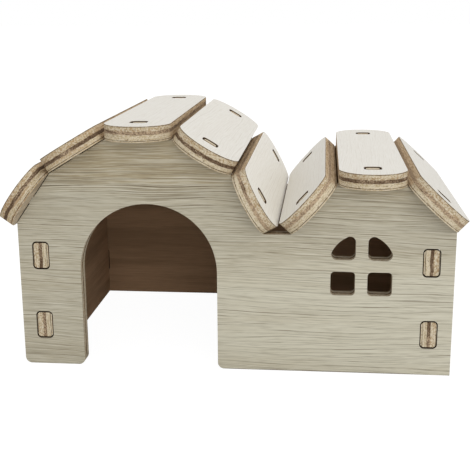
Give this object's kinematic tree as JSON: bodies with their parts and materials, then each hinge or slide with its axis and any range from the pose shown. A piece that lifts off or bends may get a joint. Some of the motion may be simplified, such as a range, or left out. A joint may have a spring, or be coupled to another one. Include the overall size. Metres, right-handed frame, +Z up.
{
  "type": "hamster house",
  "caption": "Plywood house for a small hamster: gable and side panels joined by through tabs, slotted roof boards over a tall and a low gable, arched doorway, barred window, open bottom.",
  "frame": {"origin": "on the floor, under the middle of the whole house", "axes": "+Z up, +Y from the doorway side to the back, +X to the right for someone who faces the doorway"},
  "size_m": [0.1486, 0.104, 0.0807],
  "materials": {
    "gable_panel": "satin pale grey-beige wood-grain laminate, laser-cut plywood edges",
    "side_panel": "satin pale grey-beige wood-grain laminate, laser-cut plywood edges",
    "roof_board": "satin off-white wood-grain laminate, laser-cut plywood edges"
  },
  "bodies": {
    "root": {"front_panel": "gable_panel", "back_panel": "gable_panel", "left_side_panel": "side_panel", "right_side_panel": "side_panel", "left_roof_board_1": "roof_board", "left_roof_board_2": "roof_board", "left_roof_board_3": "roof_board", "left_roof_board_4": "roof_board", "left_roof_board_5": "roof_board", "right_roof_board_1": "roof_board", "right_roof_board_2": "roof_board", "right_roof_board_3": "roof_board"}
  },
  "joints": []
}
